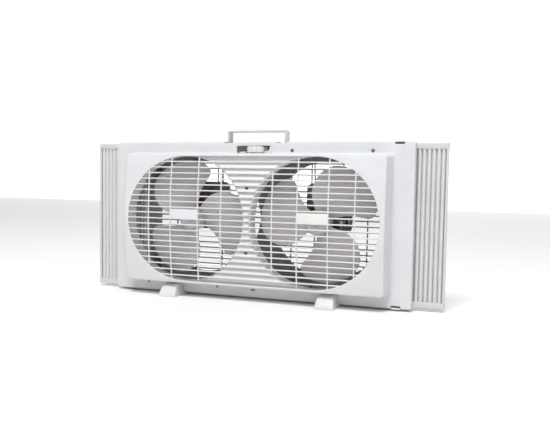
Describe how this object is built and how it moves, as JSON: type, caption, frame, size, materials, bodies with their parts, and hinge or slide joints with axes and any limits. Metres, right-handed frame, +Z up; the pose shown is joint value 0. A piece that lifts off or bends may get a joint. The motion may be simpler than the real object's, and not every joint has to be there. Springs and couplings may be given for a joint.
{
  "type": "twin window fan",
  "caption": "Twin window fan with slatted grilles, pleated side extenders, pull-up handle, thumbwheel switch and clip-on feet.",
  "frame": {"origin": "on the floor, under the middle of the body", "axes": "+X to the right seen from the front, -Y out of the front grille, +Z up"},
  "size_m": [0.715, 0.128, 0.3264],
  "materials": {
    "white_plastic": "satin moulded, cool white",
    "extender_plastic": "satin moulded, slightly greyer white",
    "pleat_plastic": "thin folded sheet, off-white",
    "blade_plastic": "semi-gloss light grey",
    "screw_steel": "plated",
    "zinc_steel": "zinc plated, pressed",
    "shaft_steel": "ground",
    "lamination_steel": "stacked sheet edges",
    "coil_tape": "dark taped winding",
    "bearing_bronze": "sintered bronze",
    "dark_plastic": "matt",
    "gland_plastic": "matt",
    "lead_jacket": "matt insulated wire, grey"
  },
  "bodies": {
    "housing": {"front_shell": "white_plastic", "rear_shell": "white_plastic", "shroud_plate": "white_plastic", "centre_brace": "white_plastic", "front_screws": "screw_steel", "web_screws": "screw_steel", "switch_body": "dark_plastic", "cord_gland": "gland_plastic", "lead_left": "lead_jacket", "lead_right": "lead_jacket", "lead_mains": "lead_jacket", "foot_left": "white_plastic", "foot_right": "white_plastic", "motor_stator_left": "lamination_steel", "motor_coil_left": "coil_tape", "motor_front_bracket_left": "zinc_steel", "motor_rear_bracket_left": "zinc_steel", "motor_bearings_left": "bearing_bronze", "motor_screws_left": "screw_steel", "motor_stator_right": "lamination_steel", "motor_coil_right": "coil_tape", "motor_front_bracket_right": "zinc_steel", "motor_rear_bracket_right": "zinc_steel", "motor_bearings_right": "bearing_bronze", "motor_screws_right": "screw_steel"},
    "fan_left": {"fan_blade_left": "blade_plastic", "blade_nut_left": "zinc_steel", "motor_shaft_left": "shaft_steel", "motor_rotor_left": "lamination_steel"},
    "extender_left": {"extender_frame_left": "extender_plastic", "accordion_left": "pleat_plastic"},
    "fan_right": {"fan_blade_right": "blade_plastic", "blade_nut_right": "zinc_steel", "motor_shaft_right": "shaft_steel", "motor_rotor_right": "lamination_steel"},
    "extender_right": {"extender_frame_right": "extender_plastic", "accordion_right": "pleat_plastic"},
    "knob": {"thumbwheel": "white_plastic", "switch_rotor": "dark_plastic"},
    "carry_handle": {"handle": "white_plastic"}
  },
  "joints": [
    {"name": "fan_left_spin", "type": "hinge", "parent": "housing", "child": "fan_left", "pos_m": [-0.129, 0, 0.154], "axis": [0, 1, 0], "continuous": true},
    {"name": "fan_right_spin", "type": "hinge", "parent": "housing", "child": "fan_right", "pos_m": [0.129, 0, 0.154], "axis": [0, 1, 0], "continuous": true},
    {"name": "knob_turn", "type": "hinge", "parent": "housing", "child": "knob", "pos_m": [0, -0.004, 0.2888], "axis": [0, 0, 1], "range_deg": [0, 120]},
    {"name": "handle_slide", "type": "slide", "parent": "housing", "child": "carry_handle", "axis": [0, 0, 1], "range_m": [-0.0175, 0]},
    {"name": "extender_left_slide", "type": "slide", "parent": "housing", "child": "extender_left", "axis": [-1, 0, 0], "range_m": [-0.05, 0.058], "deforming": ["accordion_left"]},
    {"name": "extender_right_slide", "type": "slide", "parent": "housing", "child": "extender_right", "axis": [1, 0, 0], "range_m": [-0.05, 0.058], "deforming": ["accordion_right"]}
  ]
}
